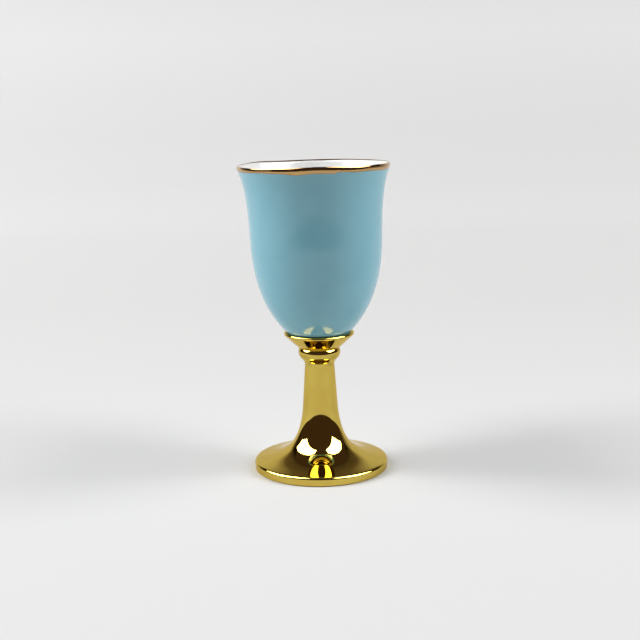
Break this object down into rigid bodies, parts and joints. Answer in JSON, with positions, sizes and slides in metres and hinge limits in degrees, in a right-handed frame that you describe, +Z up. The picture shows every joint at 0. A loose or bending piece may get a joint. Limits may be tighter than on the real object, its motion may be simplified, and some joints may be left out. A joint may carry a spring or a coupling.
{
  "type": "stemmed wine cup",
  "caption": "Small stemmed wine cup: tulip-shaped blue-glazed ceramic bowl with a gilt lip, cemented in a gold-plated seat on a beaded, tapered metal stem with a flared round foot.",
  "frame": {"origin": "centre of the foot's underside, on the surface that the cup stands on", "axes": "+Z up along the axis of the stem and bowl; the cup is the same all round, so X and Y are free"},
  "size_m": [0.039, 0.039, 0.08],
  "materials": {
    "white_porcelain": "clear glossy glaze on white porcelain",
    "blue_glaze": "glossy pale blue glaze",
    "gilt_lustre": "fired gold lustre, hand-painted band",
    "cement": "set epoxy cement",
    "gold_plate": "polished gold plating on cast metal",
    "screw_steel": "plain steel",
    "pad_felt": "pressed black felt"
  },
  "bodies": {
    "root": {"porcelain_bowl": "white_porcelain", "blue_glaze": "blue_glaze", "gilt_lip": "gilt_lustre", "adhesive_bed": "cement", "bowl_seat": "gold_plate", "knop_ring": "gold_plate", "clamp_screw": "screw_steel", "stem": "gold_plate", "base_pad": "pad_felt"}
  },
  "joints": []
}
